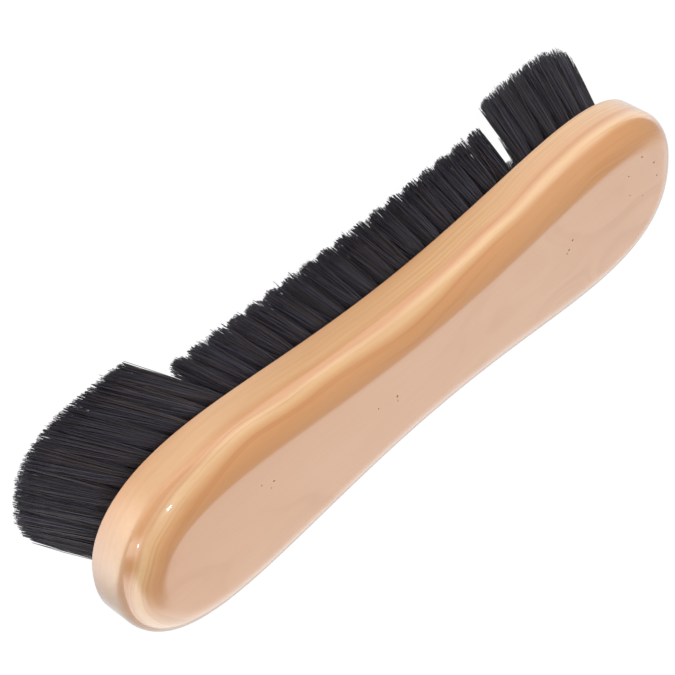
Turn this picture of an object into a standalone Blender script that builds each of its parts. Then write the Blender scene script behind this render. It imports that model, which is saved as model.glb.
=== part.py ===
"""A clothes and table brush: a waisted hardwood block, filled with tufts of black bristle.

Metres, +Z up, +X along the block. The brush stands on its long end tufts, and the origin is on
the surface that it stands on, under the middle of the block.
"""

import math
from collections import namedtuple

import bmesh
import bpy
from mathutils import Matrix, Vector

Outline = namedtuple("Outline", "length waist shoulder squareness roundness")
Row = namedtuple("Row", "roots tips length strands")

# The block. Its sides swell from the waist towards the shoulder width, and the ends round them off
BLOCK_LENGTH = 0.230
BLOCK_THICKNESS = 0.0177
WAIST_WIDTH = 0.0476
SHOULDER_WIDTH = 0.0653
END_SQUARENESS = 5.9  # how late the sides turn in towards the end
END_ROUNDNESS = 2.25  # 2 is a round nose, and more is a blunter one
BACK_ROUNDING = 0.0098  # radius from the side wall to the flat back
SOLE_ROUNDING = 0.0005  # the eased edge beside the bristle
OUTLINE_POINTS = 96
BACK_ROUNDING_STEPS = 6
SOLE_ROUNDING_STEPS = 2

# The trimmed tips of the bristle. The tufts fan out: the nearer to an end, the more they lean
LONG_TRIM = 0.0280  # from the sole down to the tips of the end tufts
SHORT_TRIM = 0.0200  # and of the middle ones
TRIM_INSET = 0.0010  # how far inside the block's widest place the outermost tips stay
TRIM_SQUARENESS = 12.0
TRIM_ROUNDNESS = 1.8
MIDDLE_SPLAY = 0.0060  # how far the last middle tufts lean towards the block's ends
END_SPLAY = 0.0137  # and the first of the end tufts
CROSSWISE_SPLAY = 0.0038  # how far the outermost middle tufts lean to the side

# Where the tufts are
SIDE_INSET = 0.0048  # from the block's sides to the outermost holes
END_INSET = 0.0142  # and from its ends
END_ZONE_LENGTH = 0.0533  # from the block's end to the first of the end tufts
ZONE_GAP = 0.0066  # and from there to the last hole of a middle row
MIDDLE_ROWS = 5
MIDDLE_PITCH = 0.0065
MIDDLE_FOLLOW = 0.35  # how much of the block's swell the middle rows follow
END_RINGS = 3
END_ROW_SPACING = 0.0081  # between the end rows, along the block
END_ROW_STEP = 0.0028  # how much nearer to the block's end each inner row begins
END_PITCH = 0.0062

# One tuft
TUFT_DIAMETER = 0.0046
OUTER_STRAND_COUNT = 3
INNER_STRAND_COUNT = 2
STRAND_SIDES = 4
STRAND_ROOT = 0.0018
STRAND_TIP = 0.0015
TUFT_SPREAD = 0.0008  # how far a strand's tip moves out from the tuft's own line

# The strip of the sole that carries a row
STRIP_WIDTH = 0.0058
STRIP_END = 0.0026  # from a row's last hole to the end of its strip
STRIP_DEPTH = 0.0024
CLEARANCE = 0.0003

# The finishes
WOOD_COLOUR = (0.72, 0.43, 0.20)
WOOD_ROUGHNESS = 0.22
BRISTLE_COLOUR = (0.018, 0.016, 0.019)
BRISTLE_ROUGHNESS = 0.45

SOLE_HEIGHT = LONG_TRIM
BACK_HEIGHT = SOLE_HEIGHT + BLOCK_THICKNESS
END_START = BLOCK_LENGTH / 2 - END_ZONE_LENGTH  # where the end tufts begin, along the block
MIDDLE_HALF = END_START - ZONE_GAP  # half the length of a middle row
GOLDEN_ANGLE = math.pi * (3 - math.sqrt(5))
FINE_STEPS = 720  # round a whole outline, where a row's path is taken from it
SAME_HEIGHT = 0.0001  # points closer than this in height are on one rim


def clear_scene():
    for obj in list(bpy.data.objects):
        bpy.data.objects.remove(obj, do_unlink=True)


def new_collection(name):
    collection = bpy.data.collections.new(name)
    bpy.context.scene.collection.children.link(collection)
    return collection


def new_material(name, colour, roughness, metallic=0.0):
    material = bpy.data.materials.new(name)
    material.use_nodes = True
    material.diffuse_color = (*colour, 1.0)
    shader = material.node_tree.nodes["Principled BSDF"]
    shader.inputs["Base Color"].default_value = (*colour, 1.0)
    shader.inputs["Roughness"].default_value = roughness
    shader.inputs["Metallic"].default_value = metallic
    return material


def object_from(name, bm, collection, materials):
    mesh = bpy.data.meshes.new(name)
    bm.to_mesh(mesh)
    bm.free()
    for material in materials:
        mesh.materials.append(material)
    obj = bpy.data.objects.new(name, mesh)
    collection.objects.link(obj)
    return obj


# Outlines in plan


def half_width(outline, x):
    """Half an outline's width at a place along it."""
    along = min(abs(x) / (outline.length / 2), 1.0)
    swell = (1 - math.cos(math.pi * along)) / 2
    side = (outline.waist + (outline.shoulder - outline.waist) * swell) / 2
    return side * (1 - along**outline.squareness) ** (1 / outline.roundness)


def outline_point(outline, angle):
    """A point of an outline, anticlockwise from its +X end, with its points closer at the ends."""
    x = outline.length / 2 * math.cos(angle)
    return Vector((x, math.copysign(half_width(outline, x), math.sin(angle))))


def widest(outline):
    """Half an outline's width at its widest place."""
    return max(half_width(outline, outline.length * i / FINE_STEPS) for i in range(FINE_STEPS // 2))


def inset(outline, distance, end_distance=None):
    """The outline of the same kind that lies inside another, if asked by more at the ends."""
    return outline._replace(
        length=outline.length - 2 * (distance if end_distance is None else end_distance),
        waist=outline.waist - 2 * distance,
        shoulder=outline.shoulder - 2 * distance,
    )


def block_outline():
    return Outline(BLOCK_LENGTH, WAIST_WIDTH, SHOULDER_WIDTH, END_SQUARENESS, END_ROUNDNESS)


def hole_outline():
    """Round the outermost holes, with more wood left at the block's ends than at its sides."""
    return inset(block_outline(), SIDE_INSET, END_INSET)


def trim_outline():
    """Round the tips of the outermost tufts, as long as the block and squarer."""
    width = 2 * (widest(block_outline()) - TRIM_INSET)
    return Outline(BLOCK_LENGTH, width, width, TRIM_SQUARENESS, TRIM_ROUNDNESS)


# The rows, each with its holes in the sole and the places of its tufts' tips


def spaced(path, gaps):
    """Points along a path, one at each end and the rest at an even spacing."""
    lengths = [0.0]
    for a, b in zip(path, path[1:]):
        lengths.append(lengths[-1] + (b - a).length)
    points = []
    place = 0
    for i in range(gaps + 1):
        wanted = lengths[-1] * i / gaps
        while place < len(path) - 2 and lengths[place + 1] < wanted:
            place += 1
        share = (wanted - lengths[place]) / (lengths[place + 1] - lengths[place])
        points.append(path[place].lerp(path[place + 1], share))
    return points


def gaps_in(path, pitch):
    length = sum((b - a).length for a, b in zip(path, path[1:]))
    return max(1, round(length / pitch))


def middle_row(row):
    """A row along the waist, counted from the -Y side."""
    side = 2 * row / (MIDDLE_ROWS - 1) - 1
    block = block_outline()
    gaps = round(2 * MIDDLE_HALF / MIDDLE_PITCH)
    roots = []
    tips = []
    for i in range(gaps + 1):
        along = 2 * i / gaps - 1
        x = along * MIDDLE_HALF
        swell = MIDDLE_FOLLOW * (half_width(block, x) - WAIST_WIDTH / 2)
        root = Vector((x, side * (WAIST_WIDTH / 2 - SIDE_INSET + swell)))
        roots.append(root)
        tips.append(root + Vector((along * MIDDLE_SPLAY, side * CROSSWISE_SPLAY)))
    outermost = row in (0, MIDDLE_ROWS - 1)
    return Row(roots, tips, SHORT_TRIM, OUTER_STRAND_COUNT if outermost else INNER_STRAND_COUNT)


def around_end(outline, end, start):
    """The U-shaped part of an outline that lies beyond a place on the +X or -X side."""
    middle_angle = 0.0 if end > 0 else math.pi
    path = []
    for i in range(FINE_STEPS // 2 + 1):
        angle = middle_angle + math.pi * (2 * i / FINE_STEPS - 0.5)
        path.append(outline_point(outline, angle))
    return [point for point in path if end * point.x >= start]


def ring_outline(outline, ring):
    """An outline moved in to a ring's place. Across the block, the rings share out its width."""
    across = widest(hole_outline()) / END_RINGS
    return inset(outline, ring * across, ring * END_ROW_SPACING)


def end_ring(end, ring):
    """A U-shaped row that follows the block round one end, counted from the outermost."""
    start = END_START + ring * END_ROW_STEP
    roots = around_end(ring_outline(hole_outline(), ring), end, start)
    tips = around_end(ring_outline(trim_outline(), ring), end, start + END_SPLAY)
    gaps = gaps_in(roots, END_PITCH)
    strands = INNER_STRAND_COUNT if ring else OUTER_STRAND_COUNT
    return Row(spaced(roots, gaps), spaced(tips, gaps), LONG_TRIM, strands)


def end_centre_row(end):
    """The short straight row inside the U-shaped ones."""
    start = END_START + END_RINGS * END_ROW_STEP
    tip_stop = BLOCK_LENGTH / 2 - END_RINGS * END_ROW_SPACING
    roots = [Vector((end * start, 0)), Vector((end * (tip_stop - END_INSET), 0))]
    tips = [Vector((end * (start + END_SPLAY), 0)), Vector((end * tip_stop, 0))]
    gaps = gaps_in(roots, END_PITCH)
    return Row(spaced(roots, gaps), spaced(tips, gaps), LONG_TRIM, INNER_STRAND_COUNT)


def all_rows():
    rows = {}
    for row in range(MIDDLE_ROWS):
        rows[f"middle_row_{row + 1}"] = middle_row(row)
    for end, side in ((-1, "left"), (1, "right")):
        for ring in range(END_RINGS):
            rows[f"{side}_end_ring_{ring + 1}"] = end_ring(end, ring)
        rows[f"{side}_end_centre_row"] = end_centre_row(end)
    return rows


# The strips and the strands


def lengthened(points, extra):
    """A path with both ends drawn out straight by a distance."""
    first = points[0] + (points[0] - points[1]).normalized() * extra
    last = points[-1] + (points[-1] - points[-2]).normalized() * extra
    return [first, *points[1:-1], last]


def make_ribbon(name, points, width, low, high, collection, material):
    """An upright band along a path, from one height to another, given its width both ways."""
    bm = bmesh.new()
    vertices = [bm.verts.new((point.x, point.y, low)) for point in points]
    edges = [bm.edges.new(pair) for pair in zip(vertices, vertices[1:])]
    raised = bmesh.ops.extrude_edge_only(bm, edges=edges)["geom"]
    top = [item for item in raised if isinstance(item, bmesh.types.BMVert)]
    bmesh.ops.translate(bm, verts=top, vec=(0, 0, high - low))
    ribbon = object_from(name, bm, collection, [material])
    ribbon.hide_render = True
    ribbon.display_type = "WIRE"
    wall = ribbon.modifiers.new("width", "SOLIDIFY")
    wall.thickness = width
    wall.offset = 0.0
    wall.use_even_offset = True
    return ribbon


def add_strand(bm, root, tip, turn, length):
    """One tapered strand, from inside the strip down to its flat cut tip."""
    depth = length + STRIP_DEPTH / 2
    made = bmesh.ops.create_cone(
        bm,
        segments=STRAND_SIDES,
        radius1=STRAND_TIP / 2,
        radius2=STRAND_ROOT / 2,
        depth=depth,
        cap_ends=True,
        matrix=Matrix.Translation((root.x, root.y, SOLE_HEIGHT - length + depth / 2))
        @ Matrix.Rotation(turn, 4, "Z"),
    )
    lean = (tip - root) / length
    for vertex in made["verts"]:
        down = SOLE_HEIGHT - vertex.co.z
        vertex.co.x += lean.x * down
        vertex.co.y += lean.y * down


def add_tuft(bm, root, tip, length, strands, turn):
    """The strands of one hole, side by side at the sole and a little apart at their tips."""
    ring = (TUFT_DIAMETER - STRAND_ROOT) / 2
    for i in range(strands):
        angle = turn + 2 * math.pi * i / strands
        outwards = Vector((math.cos(angle), math.sin(angle)))
        far = tip + outwards * (ring + TUFT_SPREAD)
        add_strand(bm, root + outwards * ring, far, angle, length)


def make_row(name, row, collections, materials):
    """A row of tufts with the strip of the sole that they are set in."""
    strip = make_ribbon(
        name + "_strip",
        lengthened(row.roots, STRIP_END),
        STRIP_WIDTH,
        SOLE_HEIGHT,
        SOLE_HEIGHT + STRIP_DEPTH,
        collections["helpers"],
        materials["wood"],
    )
    bm = bmesh.new()
    for i, (root, tip) in enumerate(zip(row.roots, row.tips)):
        add_tuft(bm, root, tip, row.length, row.strands, i * GOLDEN_ANGLE)
    bristle = object_from(name, bm, collections["brush"], [materials["bristle"], materials["wood"]])
    union = bristle.modifiers.new("strip", "BOOLEAN")
    union.operation = "UNION"
    union.object = strip
    union.material_mode = "TRANSFER"


def make_groove(name, row, collections, materials):
    """What is cut from the sole for a strip, with clearance all round."""
    return make_ribbon(
        name + "_groove",
        lengthened(row.roots, STRIP_END + CLEARANCE),
        STRIP_WIDTH + 2 * CLEARANCE,
        SOLE_HEIGHT - STRIP_DEPTH,
        SOLE_HEIGHT + STRIP_DEPTH + CLEARANCE,
        collections["helpers"],
        materials["wood"],
    )


# The block


def add_rounding(obj, name, height, width, segments):
    """A bevel along the rim at a height."""
    group = obj.vertex_groups.new(name=name)
    rim = [v.index for v in obj.data.vertices if abs(v.co.z - height) < SAME_HEIGHT]
    group.add(rim, 1.0, "REPLACE")
    bevel = obj.modifiers.new(name, "BEVEL")
    bevel.limit_method = "VGROUP"
    bevel.vertex_group = name
    bevel.offset_type = "OFFSET"
    bevel.width = width
    bevel.segments = segments
    bevel.use_clamp_overlap = False


def make_block(grooves, collections, materials):
    """The outline raised to the back, rounded along both rims and grooved for the strips."""
    bm = bmesh.new()
    bmesh.ops.create_circle(bm, cap_ends=True, segments=OUTLINE_POINTS, radius=BLOCK_LENGTH / 2)
    for i, vertex in enumerate(bm.verts):
        point = outline_point(block_outline(), 2 * math.pi * (i + 0.5) / OUTLINE_POINTS)
        vertex.co = (point.x, point.y, SOLE_HEIGHT)
    raised = bmesh.ops.extrude_face_region(bm, geom=bm.faces[:])["geom"]
    top = [item for item in raised if isinstance(item, bmesh.types.BMVert)]
    bmesh.ops.translate(bm, verts=top, vec=(0, 0, BLOCK_THICKNESS))
    bmesh.ops.recalc_face_normals(bm, faces=bm.faces[:])
    block = object_from("wood_block", bm, collections["brush"], [materials["wood"]])
    add_rounding(block, "back_rounding", BACK_HEIGHT, BACK_ROUNDING, BACK_ROUNDING_STEPS)
    add_rounding(block, "sole_rounding", SOLE_HEIGHT, SOLE_ROUNDING, SOLE_ROUNDING_STEPS)
    for groove in grooves:
        cut = block.modifiers.new(groove.name, "BOOLEAN")
        cut.operation = "DIFFERENCE"
        cut.object = groove


def main():
    clear_scene()
    collections = {"brush": new_collection("brush"), "helpers": new_collection("helpers")}
    materials = {
        "wood": new_material("lacquered_hardwood", WOOD_COLOUR, WOOD_ROUGHNESS),
        "bristle": new_material("black_bristle", BRISTLE_COLOUR, BRISTLE_ROUGHNESS),
    }
    rows = all_rows()
    grooves = []
    for name, row in rows.items():
        make_row(name, row, collections, materials)
        grooves.append(make_groove(name, row, collections, materials))
    make_block(grooves, collections, materials)
    tufts = sum(len(row.roots) for row in rows.values())
    strands = sum(len(row.roots) * row.strands for row in rows.values())
    print(f"{tufts} tufts, {strands} strands")


main()
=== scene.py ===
import math

import bmesh
import bpy
import numpy as np
from mathutils import Euler, Matrix, Vector


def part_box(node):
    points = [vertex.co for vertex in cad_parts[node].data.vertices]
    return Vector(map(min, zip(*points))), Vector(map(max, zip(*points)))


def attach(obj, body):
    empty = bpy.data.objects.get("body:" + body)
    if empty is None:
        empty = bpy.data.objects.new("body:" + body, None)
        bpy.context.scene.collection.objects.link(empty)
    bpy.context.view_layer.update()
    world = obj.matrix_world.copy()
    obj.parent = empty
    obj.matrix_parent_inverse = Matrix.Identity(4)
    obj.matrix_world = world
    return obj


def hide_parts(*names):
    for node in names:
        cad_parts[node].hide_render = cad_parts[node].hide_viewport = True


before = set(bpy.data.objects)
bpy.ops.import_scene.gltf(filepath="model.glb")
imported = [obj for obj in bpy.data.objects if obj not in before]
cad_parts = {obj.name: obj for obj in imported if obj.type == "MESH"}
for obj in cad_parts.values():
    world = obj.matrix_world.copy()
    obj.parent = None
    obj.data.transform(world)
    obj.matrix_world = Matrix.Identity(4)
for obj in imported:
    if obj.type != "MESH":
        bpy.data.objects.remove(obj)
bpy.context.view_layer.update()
print("frame loaded,", len(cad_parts), "nodes")

# The camera looks down on the back from the -Y side, and is turned so that the brush lies on a slant
camera = {
    "azimuth": 34.1,
    "elevation": 31.22,
    "roll": 121.9,
    "aim": (0.0101, -0.0014, 0.0169),
    "distance": 0.5853,
    "lens": 108.6,
    "sensor": 36.0,
}


def addCamera():
    lowered = math.radians(90 - camera["elevation"])
    turn = Euler((lowered, 0, math.radians(camera["azimuth"]))).to_matrix()
    turn = turn @ Matrix.Rotation(math.radians(camera["roll"]), 3, "Z")
    place = Vector(camera["aim"]) + turn @ Vector((0, 0, camera["distance"]))
    bpy.ops.object.camera_add(location=place, rotation=turn.to_euler())
    added = bpy.context.object
    added.data.lens = camera["lens"]
    added.data.sensor_width = camera["sensor"]
    bpy.context.scene.camera = added


addCamera()
print("camera placed")


# Node trees


class Wire:
    # A socket that does sums: each one adds a Math node to its tree
    def __init__(self, socket):
        self.socket = socket

    def sum(self, operation, *values):
        return Nodes(self.socket.id_data).add("Math", {"operation": operation}, dict(enumerate(values)))

    def __add__(self, other):
        return self.sum("ADD", self, other)

    def __sub__(self, other):
        return self.sum("SUBTRACT", self, other)

    def __rsub__(self, other):
        return self.sum("SUBTRACT", other, self)

    def __mul__(self, other):
        return self.sum("MULTIPLY", self, other)

    def __truediv__(self, other):
        return self.sum("DIVIDE", self, other)

    __radd__ = __add__
    __rmul__ = __mul__


class Nodes:
    # Adds nodes to a tree: a type, its settings, then the values or links of its sockets
    def __init__(self, tree):
        self.tree = tree

    def add(self, kind, settings=None, sockets=None, output=0):
        node = self.tree.nodes.new("ShaderNode" + kind)
        for name, value in (settings or {}).items():
            if name == "stops":
                self.setStops(node.color_ramp, value)
            else:
                setattr(node, name, value)
        for name, value in (sockets or {}).items():
            if isinstance(value, Wire):
                self.tree.links.new(value.socket, node.inputs[name])
            else:
                node.inputs[name].default_value = value
        return Wire(node.outputs[output])

    def setStops(self, ramp, stops):
        while len(ramp.elements) < len(stops):
            ramp.elements.new(1.0)
        for element, (place, colour) in zip(ramp.elements, stops):
            element.position = place
            element.color = (*colour, 1.0)

    def mix(self, share, first, second, blend="MIX"):
        first, second = (v if isinstance(v, Wire) else (*v, 1.0) for v in (first, second))
        return self.add("Mix", {"data_type": "RGBA", "blend_type": blend}, {0: share, 6: first, 7: second}, 2)

    def stretched(self, vector, scale):
        return self.add("VectorMath", {"operation": "MULTIPLY"}, {0: vector, 1: scale})

    def dot(self, first, second):
        return self.add("VectorMath", {"operation": "DOT_PRODUCT"}, {0: first, 1: second}, "Value")

    def parts(self, vector):
        split = self.add("SeparateXYZ", {}, {0: vector}).socket.node
        return [Wire(output) for output in split.outputs]

    def joined(self, x, y, z):
        return self.add("CombineXYZ", {}, {0: x, 1: y, 2: z})

    def noise(self, vector, scale=1.0, detail=2.0, roughness=0.5):
        sockets = {"Vector": vector, "Scale": scale, "Detail": detail, "Roughness": roughness}
        return self.add("TexNoise", {}, sockets)

    def between(self, value, low, high, start=0.0, stop=1.0):
        sockets = {"Value": value, "From Min": low, "From Max": high, "To Min": start, "To Max": stop}
        return self.add("MapRange", {"interpolation_type": "SMOOTHSTEP"}, sockets)


def newMaterial(name):
    material = bpy.data.materials.new(name)
    material.use_nodes = True
    material.node_tree.nodes.clear()
    return material, Nodes(material.node_tree)


def finishMaterial(nodes, shader):
    output = nodes.tree.nodes.new("ShaderNodeOutputMaterial")
    nodes.tree.links.new(shader.socket, output.inputs["Surface"])


# Wood

wood = {
    "cream": (0.90, 0.575, 0.300),
    "pale": (0.89, 0.545, 0.270),
    "honey": (0.80, 0.425, 0.205),
    "amber": (0.765, 0.365, 0.150),
    "late": (0.66, 0.275, 0.095),
    # the pits' two dark tones are painted shade of their hollows, not a colour of the wood
    "pinhole": (0.24, 0.12, 0.06),
    "grime": (0.12, 0.06, 0.03),
    "pitShadeScale": 4000.0,
    "pitRoughness": 0.8,
    "roughness": (0.29, 0.40),
    "coatRoughness": 0.06,
    "coatIor": 1.6,
    # the tone of the layers from the sole up to the back
    "layers": [
        (0.00, "honey"), (0.16, "pale"), (0.38, "pale"), (0.47, "honey"), (0.52, "amber"),
        (0.58, "honey"), (0.65, "cream"), (0.71, "pale"), (0.79, "amber"), (0.95, "amber"),
    ],
    # a layer's height, in thicknesses of the block
    "layerWave": 0.50,
    "layerRise": 1.1,  # for each metre along the block
    "layerBow": 45,  # for each square metre across it
    "layerStart": -0.02,
    # how often each pattern repeats in a metre along, across and up, or in a layer if it follows them
    "waves": (13.0, 22.0, 22.0),
    "patches": (14.0, 30.0, 2.0),
    "rings": (5.0, 9.0, 15.0),
    "fibres": (34.0, 900.0, 900.0),
    # where in its noise each pattern shows, from faint to full, and how strongly
    "patchEdge": (0.35, 0.65),
    "patchShare": 0.45,
    "ringRise": (0.50, 0.60),
    "ringFall": (0.70, 0.62),
    "ringShare": 0.40,
    "ringsFade": (0.62, 0.38, 0.35, 1.0),  # from one value of the patches to another, between two shares
    "fibreEdge": (0.35, 0.70),
    "fibreShare": 0.09,
    "fibreBump": 0.15,
    "fibreHeight": 0.0002,
    "roughEdge": (0.3, 0.7),
    # the cut ends of the fibres: where they begin and are full, by distance from the block's middle
    # and by level, and their tone
    "endGrain": (0.102, 0.1145),
    "endGrainLevels": (0.95, 0.70),
    "endGrainTone": 0.90,
}


def woodMaterial():
    material, nodes = newMaterial("lacquered hardwood")
    place = nodes.add("TexCoord", {}, {}, "Object")
    x, y, z = nodes.parts(place)
    # yearly layers lie nearly flat in the board, bowed across and wavy along, so they show as long
    # bands and arcs where the shoulder is cut through them
    wave = (nodes.noise(nodes.stretched(place, wood["waves"])) - 0.5) * wood["layerWave"]
    level = (z - soleHeight) / (backHeight - soleHeight)
    layer = level + y * y * wood["layerBow"] + wave - x * wood["layerRise"] + wood["layerStart"]
    inLayers = nodes.joined(x, y, layer)
    patches = nodes.noise(nodes.stretched(inLayers, wood["patches"]))
    rings = nodes.noise(nodes.stretched(inLayers, wood["rings"]))
    fibres = nodes.noise(nodes.stretched(place, wood["fibres"]), detail=3.0, roughness=0.6)
    stops = [(height, wood[name]) for height, name in wood["layers"]]
    colour = nodes.add("ValToRGB", {"stops": stops}, {0: layer})
    patched = nodes.between(patches, *wood["patchEdge"]) * wood["patchShare"]
    colour = nodes.mix(patched, colour, wood["honey"])
    late = nodes.between(rings, *wood["ringRise"]) * nodes.between(rings, *wood["ringFall"])
    late = late * nodes.between(patches, *wood["ringsFade"]) * wood["ringShare"]
    colour = nodes.mix(late, colour, wood["late"])
    fine = nodes.between(fibres, *wood["fibreEdge"]) * wood["fibreShare"]
    colour = nodes.mix(fine, colour, wood["late"])
    along = nodes.add("Math", {"operation": "ABSOLUTE"}, {0: x})
    ended = nodes.between(along, *wood["endGrain"]) * nodes.between(level, *wood["endGrainLevels"])
    tone = 1 - ended * (1 - wood["endGrainTone"])
    colour = nodes.mix(1.0, colour, nodes.joined(tone, tone, tone), "MULTIPLY")
    relief = {"Strength": wood["fibreBump"], "Distance": wood["fibreHeight"], "Height": fibres}
    bump = nodes.add("Bump", {}, relief)
    shader = nodes.add(
        "BsdfPrincipled",
        {},
        {
            "Base Color": colour,
            "Roughness": nodes.between(rings, *wood["roughEdge"], *wood["roughness"]),
            "Normal": bump,
            "Coat Weight": 1.0,
            "Coat Roughness": wood["coatRoughness"],
            "Coat IOR": wood["coatIor"],
        },
    )
    finishMaterial(nodes, shader)
    return material


def pinholeMaterial():
    # the pits are coloured dark as painted shade of their hollows, a fine noise mixing two dark tones
    material, nodes = newMaterial("wood pore")
    place = nodes.add("TexCoord", {}, {}, "Object")
    grime = nodes.noise(place, wood["pitShadeScale"])
    colour = nodes.mix(grime, wood["pinhole"], wood["grime"])
    shader = nodes.add("BsdfPrincipled", {}, {"Base Color": colour, "Roughness": wood["pitRoughness"]})
    finishMaterial(nodes, shader)
    return material


bristle = {
    "black": (0.044, 0.037, 0.045),
    "brown": (0.104, 0.070, 0.064),
    "blue": (0.066, 0.063, 0.098),
    # the tones of the fibres: most are black, some blue and a few brown
    "tones": [(0.0, "black"), (0.45, "black"), (0.70, "blue"), (0.86, "black"), (1.0, "brown")],
    "tipLightFrom": 0.75,  # of a fibre's length, from which it is painted lighter and bluer towards its cut tip: painted light on the tips against the tuft's shade
    "tipLightShare": 0.35,
    "roughness": (0.52, 0.42),  # at its root and at its tip
    "map": "OFBake",
}


def bristleMaterial():
    material, nodes = newMaterial("black bristle")
    tone, along, _ = nodes.parts(nodes.add("UVMap", {"uv_map": bristle["map"]}, {}))
    stops = [(place, bristle[name]) for place, name in bristle["tones"]]
    colour = nodes.add("ValToRGB", {"stops": stops}, {0: tone})
    # painted light and shade: each fibre turns lighter and bluer towards its tip and stays darker towards its
    # root
    tipLight = nodes.between(along, bristle["tipLightFrom"], 1.0) * bristle["tipLightShare"]
    colour = nodes.mix(tipLight, colour, bristle["blue"])
    rough = nodes.between(along, 0.0, 1.0, *bristle["roughness"])
    shader = nodes.add("BsdfPrincipled", {}, {"Base Color": colour, "Roughness": rough})
    finishMaterial(nodes, shader)
    return material


# Outlines in plan, as half a width for each place along the block

block = {
    "waist": 0.0476,
    "shoulder": 0.0653,
    "squareness": 5.9,
    "roundness": 2.25,
    "roundAcross": 0.01065,
    "roundDown": 0.0089,
    "roundSteps": 28,
    "soleEdge": 0.0006,
    "soleEdgeSteps": 3,
    "points": 320,
    "supportInset": 0.0006,
    "smoothAngle": 35,
}
blockLow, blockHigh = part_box("wood_block")
soleHeight = blockLow.z
backHeight = blockHigh.z
blockLength = blockHigh.x - blockLow.x


def makeOutline(length, waist, shoulder, squareness, roundness):
    def halfWidth(x):
        along = np.clip(np.abs(x) / (length / 2), 0, 1)
        swell = (1 - np.cos(np.pi * along)) / 2
        side = (waist + (shoulder - waist) * swell) / 2
        return side * (1 - along**squareness) ** (1 / roundness)

    return {"length": length, "halfWidth": halfWidth}


def outlineRound(outline, angles):
    x = outline["length"] / 2 * np.cos(angles)
    return np.stack([x, np.sign(np.sin(angles)) * outline["halfWidth"](x)], 1)


def blockOutline(inset=0.0, endInset=0.0):
    size = (blockLength - 2 * endInset, block["waist"] - 2 * inset, block["shoulder"] - 2 * inset)
    return makeOutline(*size, block["squareness"], block["roundness"])


# Where the tufts stand, and where their tips are

rows = {
    "sideInset": 0.0048,
    "endInset": 0.0142,
    "endZone": 0.0533,
    "zoneGap": 0.0066,
    "middleRows": 5,
    "middlePitch": 0.0065,
    "middleFollow": 0.35,
    "endRings": 3,
    "ringSpacing": 0.0081,
    "ringStep": 0.0028,
    "endPitch": 0.0062,
    "shortTrim": 0.0200,
    "middleSplay": 0.0060,
    "endSplay": 0.0137,
    "innerSplay": 0.0009,
    "crossSplay": 0.0038,
    "trimInset": 0.0040,
    "trimSquareness": 12.0,
    "trimRoundness": 1.8,
    "fineSteps": 720,
}
endStart = blockLength / 2 - rows["endZone"]
middleHalf = endStart - rows["zoneGap"]


def widest(outline):
    return outline["halfWidth"](np.linspace(0, blockLength / 2, rows["fineSteps"])).max()


def trimOutline(across, inwards):
    width = 2 * (widest(blockOutline()) - rows["trimInset"] - across)
    length = blockLength - 2 * inwards
    return makeOutline(length, width, width, rows["trimSquareness"], rows["trimRoundness"])


def aroundEnd(outline, end, start):
    turn = np.linspace(-0.5, 0.5, rows["fineSteps"] // 2 + 1) * np.pi
    path = outlineRound(outline, turn + (0 if end > 0 else np.pi))
    return path[end * path[:, 0] >= start]


def travelled(path):
    return np.concatenate([[0], np.cumsum(np.linalg.norm(np.diff(path, axis=0), axis=1))])


def spaced(path, gaps):
    along = travelled(path)
    wanted = np.linspace(0, along[-1], gaps + 1)
    return np.stack([np.interp(wanted, along, path[:, i]) for i in (0, 1)], 1)


def gapsIn(path):
    return max(1, round(travelled(path)[-1] / rows["endPitch"]))


def middleRow(row):
    side = 2 * row / (rows["middleRows"] - 1) - 1
    along = np.linspace(-1, 1, round(2 * middleHalf / rows["middlePitch"]) + 1)
    x = along * middleHalf
    swell = rows["middleFollow"] * (blockOutline()["halfWidth"](x) - block["waist"] / 2)
    y = side * (block["waist"] / 2 - rows["sideInset"] + swell)
    roots = np.stack([x, y], 1)
    lean = np.stack([along * rows["middleSplay"], np.full_like(x, side * rows["crossSplay"])], 1)
    return roots, roots + lean, rows["shortTrim"]


def endRing(end, ring):
    shared = widest(blockOutline(rows["sideInset"], rows["endInset"])) / rows["endRings"]
    across = ring * shared
    inwards = ring * rows["ringSpacing"]
    holeLine = blockOutline(rows["sideInset"] + across, rows["endInset"] + inwards)
    start = endStart + ring * rows["ringStep"]
    roots = aroundEnd(holeLine, end, start)
    splay = rows["endSplay"] + ring * rows["innerSplay"]
    tips = aroundEnd(trimOutline(across, inwards), end, start + splay)
    gaps = gapsIn(roots)
    return spaced(roots, gaps), spaced(tips, gaps), soleHeight


def endCentreRow(end):
    start = endStart + rows["endRings"] * rows["ringStep"]
    stop = blockLength / 2 - rows["endRings"] * rows["ringSpacing"]
    roots = np.array([[end * start, 0], [end * (stop - rows["endInset"]), 0]])
    splay = rows["endSplay"] + rows["endRings"] * rows["innerSplay"]
    tips = np.array([[end * (start + splay), 0], [end * stop, 0]])
    gaps = gapsIn(roots)
    return spaced(roots, gaps), spaced(tips, gaps), soleHeight


def allRows():
    found = {f"middle_row_{i + 1}": middleRow(i) for i in range(rows["middleRows"])}
    for end, side in ((-1, "left"), (1, "right")):
        for ring in range(rows["endRings"]):
            found[f"{side}_end_ring_{ring + 1}"] = endRing(end, ring)
        found[f"{side}_end_centre_row"] = endCentreRow(end)
    return found


tuftRows = allRows()
print(sum(len(roots) for roots, _, _ in tuftRows.values()), "tufts laid out")


# Modelling helpers


def deselectAll():
    bpy.ops.object.select_all(action="DESELECT")


def choose(obj, wanted, kind="verts"):
    # in edit mode: selects the vertices, edges or faces that pass a test
    mesh = bmesh.from_edit_mesh(obj.data)
    bpy.ops.mesh.select_all(action="DESELECT")
    for item in getattr(mesh, kind):
        if wanted(item):
            item.select_set(True)
    mesh.select_flush_mode()
    bmesh.update_edit_mesh(obj.data)


def atHeight(height, slack=1e-5):
    def test(item):
        points = getattr(item, "verts", None) or [item]
        return all(abs(point.co.z - height) < slack for point in points)

    return test


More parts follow.
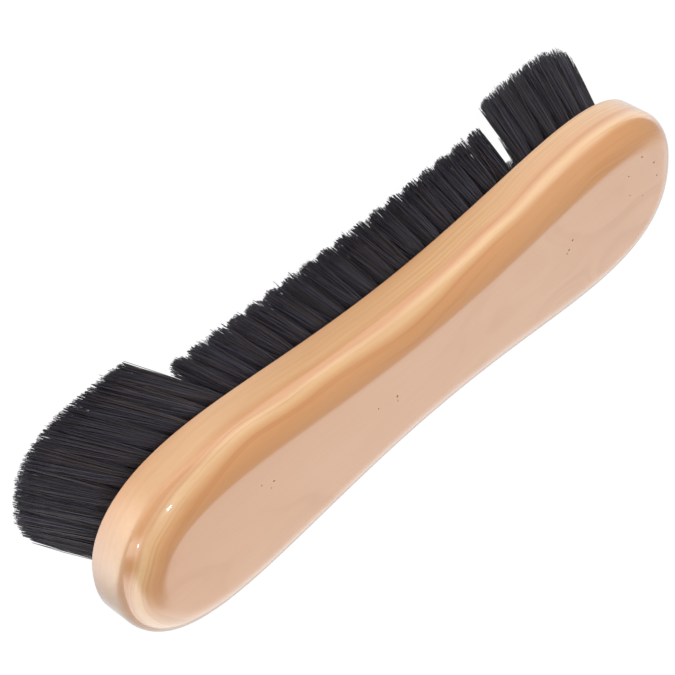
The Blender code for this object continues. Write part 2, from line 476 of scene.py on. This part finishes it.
def cutWith(obj, cutter):
    cut = obj.modifiers.new("cut", "BOOLEAN")
    cut.operation = "DIFFERENCE"
    cut.object = cutter
    cut.material_mode = "TRANSFER"
    bpy.context.view_layer.objects.active = obj
    bpy.ops.object.modifier_apply(modifier=cut.name)
    bpy.data.objects.remove(cutter)


# The block

holes = {"diameter": 0.0046, "depth": 0.0095, "sides": 14}


def drillTufts(obj):
    # one drilled blind hole for each tuft, all made with a single joined cutter
    deselectAll()
    bpy.ops.mesh.primitive_cylinder_add(
        vertices=holes["sides"],
        radius=holes["diameter"] / 2,
        depth=2 * holes["depth"],
        location=(0, 0, soleHeight),
    )
    drill = bpy.context.object
    copies = []
    for roots, _, _ in tuftRows.values():
        for x, y in roots:
            copy = drill.copy()
            copy.data = drill.data.copy()
            copy.location = (x, y, soleHeight)
            bpy.context.collection.objects.link(copy)
            copies.append(copy)
    bpy.data.objects.remove(drill)
    for copy in copies:
        copy.select_set(True)
    bpy.context.view_layer.objects.active = copies[0]
    bpy.ops.object.join()
    cutWith(obj, bpy.context.object)


# Pinholes of the wood that the lacquer hasn't filled: small groups of them along the grain
pinholes = {
    "groups": 5,
    "perGroup": 3,
    "fromEdge": 0.006,
    "spreadAlong": 0.0060,
    "spreadAcross": 0.0018,
    "seed": 3,
    "length": 0.00062,
    "width": 0.00044,
    "depth": 0.00030,
    "varied": 0.3,  # the share by which their sizes differ
}


def pinholePlaces():
    chance = np.random.default_rng(pinholes["seed"])
    reach = blockLength / 2 - pinholes["fromEdge"]
    places = []
    for middle in chance.uniform(-reach, reach, pinholes["groups"]):
        side = chance.uniform(-1, 1)
        for along, across in chance.normal(0, 1, (pinholes["perGroup"], 2)).clip(-2, 2):
            x = np.clip(middle + along * pinholes["spreadAlong"], -reach, reach)
            room = blockOutline()["halfWidth"](x) - pinholes["fromEdge"]
            places.append((float(x), float(side * room + across * pinholes["spreadAcross"])))
    return places


def pitSurface(obj):
    # bowls cut into the back, each where a ray straight down onto the block lands
    deselectAll()
    bpy.ops.mesh.primitive_ico_sphere_add(subdivisions=2, radius=0.5)
    pit = bpy.context.object
    # the cut pits take the dark pore material, which paints shade into them
    pit.data.materials.append(pinholeMaterial())
    copies = []
    for number, (x, y) in enumerate(pinholePlaces()):
        _, place, _, _ = obj.ray_cast((x, y, backHeight * 2), (0, 0, -1))
        size = 1 + pinholes["varied"] * math.sin(5 * number)
        copy = pit.copy()
        copy.data = pit.data.copy()
        copy.location = place
        copy.scale = (pinholes["length"] * size, pinholes["width"] * size, pinholes["depth"] * 2)
        bpy.context.collection.objects.link(copy)
        copies.append(copy)
    bpy.data.objects.remove(pit)
    for copy in copies:
        copy.select_set(True)
    bpy.context.view_layer.objects.active = copies[0]
    bpy.ops.object.join()
    cutWith(obj, bpy.context.object)


def modelBlock():
    deselectAll()
    bpy.ops.mesh.primitive_circle_add(vertices=block["points"], radius=1, fill_type="NGON")
    made = bpy.context.object
    made.name = "woodBlock"
    angles = 2 * np.pi * (np.arange(block["points"]) + 0.5) / block["points"]
    for vertex, (x, y) in zip(made.data.vertices, outlineRound(blockOutline(), angles)):
        vertex.co = (x, y, soleHeight)
    # the back edge is rounded wider than deep, so it is beveled on a taller block that is then lowered
    tall = block["roundAcross"] / block["roundDown"]
    top = soleHeight + (backHeight - soleHeight) * tall
    bpy.ops.object.mode_set(mode="EDIT")
    bpy.ops.mesh.select_all(action="SELECT")
    bpy.ops.mesh.extrude_region_move(TRANSFORM_OT_translate={"value": (0, 0, top - soleHeight)})
    bpy.ops.mesh.select_all(action="SELECT")
    bpy.ops.mesh.normals_make_consistent(inside=False)
    choose(made, atHeight(top), "edges")
    bpy.ops.mesh.bevel(
        offset=block["roundAcross"],
        segments=block["roundSteps"],
        profile=0.5,
        affect="EDGES",
        clamp_overlap=False,
    )
    mesh = bmesh.from_edit_mesh(made.data)
    for vertex in mesh.verts:
        vertex.co.z = soleHeight + (vertex.co.z - soleHeight) / tall
    bmesh.update_edit_mesh(made.data)
    choose(made, atHeight(soleHeight), "edges")
    bpy.ops.mesh.bevel(
        offset=block["soleEdge"],
        segments=block["soleEdgeSteps"],
        profile=0.5,
        affect="EDGES",
        clamp_overlap=False,
    )
    for height in (soleHeight, backHeight):
        choose(made, atHeight(height), "faces")
        bpy.ops.mesh.inset(thickness=block["supportInset"])
    bpy.ops.object.mode_set(mode="OBJECT")
    made.data.materials.append(woodMaterial())
    drillTufts(made)
    pitSurface(made)
    deselectAll()
    made.select_set(True)
    bpy.context.view_layer.objects.active = made
    bpy.ops.object.shade_smooth_by_angle(angle=math.radians(block["smoothAngle"]))
    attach(made, "root")
    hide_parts("wood_block")


modelBlock()
print("block modelled")


# The bristle

fibre = {
    "count": 250,
    "sides": 3,
    "rootRadius": 0.00014,
    "tipRadius": 0.00009,
    "bendsAt": (0.35, 0.7),
    "sink": 0.0015,  # how far it starts inside its hole
    "bunch": 0.0022,  # radius of the tuft where it leaves the hole
    "tipJitter": 0.00040,
    "strayJitter": 0.0010,  # of the few fibres that stand apart from their tuft
    "flare": 0.80,  # below 1, a tuft opens more near its hole than near its tips
    "bow": 0.0005,
    "shorter": 0.0010,  # by which the longest and the shortest differ
    "rimPower": 4,  # the higher, the fewer fibres at a tuft's rim are cut back
    "tones": 64,
    "toneMargin": 0.1,  # of a tone's column in the map, left free on both sides
    "seed": 7,
}

# How the tufts of a zone are brushed and trimmed. Their tips lean by the same way along and across the
# block, and further along it for each metre across (skew), across it for each metre along (swing) and
# in from the far side for each metre across (pinch). A tuft's tips reach a share of the spacing along
# its row (less at the row's ends) and a distance across it. It is more or less square, cut back at its
# rim (dome), longer than the zone's trim, and has a share of stray fibres.
zones = {
    "middle": {
        "lean": (0.0005, -0.0012),
        "skew": 0.0,
        "swing": 0.0,
        "pinch": 0.0,
        "alongRow": 0.53,
        "acrossRow": 0.0027,
        "squareness": 0.30,
        "dome": 0.0025,
        "longer": 0.0010,
        "strays": 0.09,
        "rowEnds": 0.75,
    },
    "left": {
        "lean": (-0.0022, -0.0002),
        "skew": -0.037,
        "swing": -0.117,
        "pinch": 0.0,
        "alongRow": 0.60,
        "acrossRow": 0.0026,
        "squareness": 0.8,
        "dome": 0.0005,
        "longer": 0.0,
        "strays": 0.015,
        "rowEnds": 1.0,
    },
    "right": {
        "lean": (0.0002, -0.0042),
        "skew": -0.06,
        "swing": 0.0,
        "pinch": 0.20,
        "alongRow": 0.62,
        "acrossRow": 0.0020,
        "squareness": 0.8,
        "dome": 0.0005,
        "longer": 0.0,
        "strays": 0.015,
        "rowEnds": 1.0,
    },
}


def modelFibre():
    # one straight fibre, 1 long from z = 0 down to -1, as a pattern for all
    deselectAll()
    bpy.ops.mesh.primitive_cone_add(
        vertices=fibre["sides"],
        radius1=fibre["tipRadius"],
        radius2=fibre["rootRadius"],
        depth=1,
        location=(0, 0, -0.5),
    )
    made = bpy.context.object
    bpy.ops.object.mode_set(mode="EDIT")
    for share in fibre["bendsAt"]:
        bpy.ops.mesh.select_all(action="SELECT")
        bpy.ops.mesh.bisect(plane_co=(0, 0, -share), plane_no=(0, 0, 1))
    bpy.ops.object.mode_set(mode="OBJECT")
    points = np.array([made.matrix_world @ v.co for v in made.data.vertices])
    faces = [tuple(face.vertices) for face in made.data.polygons]
    bpy.data.objects.remove(made)
    return points, faces


fibrePoints, fibreFaces = modelFibre()


def tuftTips(tips, zone, away, chance):
    # where the middle of each tuft's tips is, and how far from it each fibre's tip is: those of a tuft
    # fill the row's spacing along it
    along = np.gradient(tips, axis=0)
    spacing = np.linalg.norm(along, axis=1, keepdims=True)
    along = along / spacing
    across = np.stack([-along[:, 1], along[:, 0]], 1)
    alongLean, acrossLean = zone["lean"]
    beyond = np.maximum(np.abs(tips[:, 0]) - endStart - rows["endSplay"], 0)
    farSide = np.maximum(tips[:, 1], 0)
    lean = np.stack(
        [
            alongLean + zone["skew"] * tips[:, 1],
            acrossLean + zone["swing"] * beyond - zone["pinch"] * farSide,
        ],
        1,
    )
    squarer = away / np.abs(away).max(2, keepdims=True) ** zone["squareness"]
    squarer = squarer * np.linalg.norm(away, axis=2, keepdims=True) ** zone["squareness"]
    reach = spacing * zone["alongRow"]
    reach[[0, -1]] *= zone["rowEnds"]
    spread = squarer[..., :1] * (along * reach)[:, None]
    spread = spread + squarer[..., 1:] * across[:, None] * zone["acrossRow"]
    stray = chance.random(away.shape[:2]) < zone["strays"]
    jitter = np.where(stray, fibre["strayJitter"], fibre["tipJitter"])
    wander = chance.normal(0, 1, away.shape).clip(-2, 2) * jitter[..., None]
    return tips + lean, spread + wander


def growRow(name, roots, tips, trim, zone, material, chance):
    tuftCount, count = len(roots), fibre["count"]
    number = np.arange(count)
    out = np.sqrt((number + 0.5) / count)
    spin = number * np.pi * (3 - np.sqrt(5)) + chance.uniform(0, 2 * np.pi, (tuftCount, 1))
    away = np.stack([np.cos(spin), np.sin(spin)], 2) * out[None, :, None]
    middles, spread = tuftTips(tips, zone, away, chance)
    start = (roots[:, None] + away * fibre["bunch"]).reshape(-1, 2)
    lean = np.repeat(middles - roots, count, axis=0)
    opening = (spread - away * fibre["bunch"]).reshape(-1, 2)
    total = len(start)
    rim = np.tile(out ** fibre["rimPower"], tuftCount) * zone["dome"]
    uneven = np.abs(chance.normal(0, fibre["shorter"] / 3, total)).clip(0, fibre["shorter"])
    reach = trim + zone["longer"] - rim - uneven
    bow = chance.normal(0, fibre["bow"] / 2, (total, 2))
    turn = chance.uniform(0, 2 * np.pi, total)
    tone = chance.integers(0, fibre["tones"], total)

    # each fibre's copy of the pattern: its rings follow the fibre's own curve
    share = -fibrePoints[:, 2]
    path = start[:, None] + lean[:, None] * share[None, :, None]
    path = path + opening[:, None] * (share ** fibre["flare"])[None, :, None]
    path = path + bow[:, None] * np.sin(np.pi * share)[None, :, None]
    cosine, sine = np.cos(turn)[:, None], np.sin(turn)[:, None]
    x = path[..., 0] + fibrePoints[:, 0] * cosine - fibrePoints[:, 1] * sine
    y = path[..., 1] + fibrePoints[:, 0] * sine + fibrePoints[:, 1] * cosine
    z = soleHeight + fibre["sink"] - (reach + fibre["sink"])[:, None] * share
    points = np.stack([x, y, np.maximum(z, 0)], 2).reshape(-1, 3)

    mesh = bpy.data.meshes.new(name)
    size = len(fibrePoints)
    corners = np.concatenate([np.array(face) for face in fibreFaces])
    lengths = np.array([len(face) for face in fibreFaces])
    allCorners = (corners[None] + size * np.arange(total)[:, None]).ravel()
    allLengths = np.tile(lengths, total)
    mesh.vertices.add(len(points))
    mesh.vertices.foreach_set("co", points.ravel().astype(np.float32))
    mesh.loops.add(len(allCorners))
    mesh.loops.foreach_set("vertex_index", allCorners.astype(np.int32))
    mesh.polygons.add(len(allLengths))
    starts = np.concatenate([[0], np.cumsum(allLengths)[:-1]])
    mesh.polygons.foreach_set("loop_start", starts.astype(np.int32))
    mesh.update(calc_edges=True)
    # the map holds a fibre's tone across and its length upwards
    layer = mesh.uv_layers.new(name=bristle["map"])
    margin = fibre["toneMargin"]
    side = (np.arange(len(corners)) % 2)[None]
    across = (tone[:, None] + margin + (1 - 2 * margin) * side) / fibre["tones"]
    upwards = np.broadcast_to(share[corners][None], across.shape)
    layer.uv.foreach_set("vector", np.stack([across, upwards], 2).ravel().astype(np.float32))
    mesh.polygons.foreach_set("use_smooth", np.ones(len(allLengths), bool))
    mesh.materials.append(material)
    made = bpy.data.objects.new(name, mesh)
    bpy.context.collection.objects.link(made)
    return made


def growBristle():
    material = bristleMaterial()
    chance = np.random.default_rng(fibre["seed"])
    for node, (roots, tips, trim) in tuftRows.items():
        words = node.split("_")
        name = words[0] + "".join(word.capitalize() for word in words[1:])
        made = growRow(name, roots, tips, trim, zones[words[0]], material, chance)
        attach(made, "root")
        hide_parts(node)


growBristle()
print("bristle grown")


# The studio

studio = {
    "floorSize": 6.0,
    "floorColour": (0.82, 0.82, 0.82),
    "floorGlow": 1.03,
    "floorGlowShare": 0.96,
    "ambient": 0.22,
    "mirrored": 0.28,
}

lamps = {
    "overhead": {"towards": (0.22, -0.58, 0.74), "distance": 1.1, "size": 0.075, "power": 0.8},
    "side": {"towards": (0.84, -0.30, 0.45), "distance": 1.2, "size": 0.07, "power": 0.25},
}

# Round soft lights far away: each is full inside one angle and fades to nothing at another
keyLight = {"towards": (0.09, -0.86, 0.51), "inner": 10.0, "outer": 55.0, "strength": 1.75}
fillLight = {"towards": (-0.25, 0.92, 0.30), "inner": 10.0, "outer": 55.0, "strength": 0.85}

# What the lacquer mirrors: a tall window at the +X end, a soft light low in front and a pale wall
# behind. Each pair is where the light begins to fade and where it is gone, or the other way round.
window = {
    "across": (0.30, 0.954, 0.0),
    "edge": (0.08, 0.34),
    "top": (0.40, 0.78),
    "right": (0.2, 0.5),
    "strength": 2.4,
}
lowStrip = {"towards": (-0.50, -0.84, 0.05), "inner": 4.0, "outer": 24.0, "strength": 1.3}
backWall = {"top": (0.48, 0.66), "side": (0.15, 0.55), "strength": 1.75, "brighterRight": 1.2}

# And the floor as it is mirrored: patches of more or less light, by their middle and their two radii
floorMirror = {
    "plain": 0.8,
    "shade": {"middle": (-0.02, -0.07, 0), "radii": (0.02, 0.075), "dim": 0.15},
    "window": {"middle": (0.20, -0.03, 0), "radii": (0.050, 0.110), "strength": 2.2},
    "strip": {"middle": (-0.60, -0.75, 0), "radii": (0.78, 0.90), "strength": 0.7},
}


def addLamps():
    for name, lamp in lamps.items():
        towards = Vector(lamp["towards"]).normalized()
        deselectAll()
        bpy.ops.object.light_add(
            type="AREA",
            location=towards * lamp["distance"],
            rotation=towards.to_track_quat("Z", "Y").to_euler(),
        )
        added = bpy.context.object
        added.name = name + "Lamp"
        added.data.size = lamp["size"]
        added.data.energy = lamp["power"]


def glowFrom(nodes, towards, light):
    middle = Vector(light["towards"]).normalized()
    facing = nodes.dot(towards, middle)
    edges = [math.cos(math.radians(light[edge])) for edge in ("outer", "inner")]
    return nodes.between(facing, *edges) * light["strength"]


def dressWorld():
    world = bpy.data.worlds.new("studio")
    world.use_nodes = True
    world.node_tree.nodes.clear()
    bpy.context.scene.world = world
    nodes = Nodes(world.node_tree)
    towards = nodes.add("TexCoord", {}, {}, "Generated")
    x, y, z = nodes.parts(towards)
    lit = glowFrom(nodes, towards, keyLight) + glowFrom(nodes, towards, fillLight) + studio["ambient"]
    wall = nodes.between(z, *backWall["top"], 1.0, 0.0) * nodes.between(y, *backWall["side"])
    wall = wall * (x * backWall["brighterRight"] + backWall["strength"])
    sideways = nodes.dot(towards, window["across"])
    sideways = nodes.add("Math", {"operation": "ABSOLUTE"}, {0: sideways})
    pane = nodes.between(sideways, *window["edge"], 1.0, 0.0) * nodes.between(x, *window["right"])
    pane = pane * nodes.between(z, *window["top"], 1.0, 0.0) * window["strength"]
    mirrored = glowFrom(nodes, towards, lowStrip) + pane + wall + studio["mirrored"]
    glossy = nodes.add("LightPath", {}, {}, "Is Glossy Ray")
    seen = nodes.add("LightPath", {}, {}, "Is Camera Ray")
    strength = lit * (1 - glossy) + mirrored * glossy
    strength = strength * (1 - seen) + seen
    light = nodes.add("Background", {}, {"Color": (1, 1, 1, 1), "Strength": strength})
    output = world.node_tree.nodes.new("ShaderNodeOutputWorld")
    world.node_tree.links.new(light.socket, output.inputs["Surface"])


def patchOf(nodes, place, patch, inside, outside):
    away = nodes.add("VectorMath", {"operation": "DISTANCE"}, {0: place, 1: patch["middle"]}, "Value")
    return nodes.between(away, *patch["radii"], inside, outside)


def layFloor():
    deselectAll()
    bpy.ops.mesh.primitive_plane_add(size=studio["floorSize"])
    floor = bpy.context.object
    floor.name = "floor"
    material, nodes = newMaterial("pale floor")
    place = nodes.add("TexCoord", {}, {}, "Object")
    shade = floorMirror["shade"]
    mirror = patchOf(nodes, place, shade, shade["dim"], 1.0) * floorMirror["plain"]
    for name in ("window", "strip"):
        patch = floorMirror[name]
        mirror = mirror + patchOf(nodes, place, patch, patch["strength"], 0.0)
    matt = nodes.add("BsdfDiffuse", {}, {"Color": (*studio["floorColour"], 1)})
    glow = nodes.add("Emission", {}, {"Color": (1, 1, 1, 1), "Strength": studio["floorGlow"]})
    mirrorGlow = nodes.add("Emission", {}, {"Color": (1, 1, 1, 1), "Strength": mirror})
    seen = nodes.add("LightPath", {}, {}, "Is Camera Ray")
    glossy = nodes.add("LightPath", {}, {}, "Is Glossy Ray")
    mixed = nodes.add("MixShader", {}, {0: seen * studio["floorGlowShare"], 1: matt, 2: glow})
    mixed = nodes.add("MixShader", {}, {0: glossy, 1: mixed, 2: mirrorGlow})
    finishMaterial(nodes, mixed)
    floor.data.materials.append(material)


layFloor()
addLamps()
dressWorld()
bpy.context.scene.view_settings.view_transform = "Standard"
print("studio set")
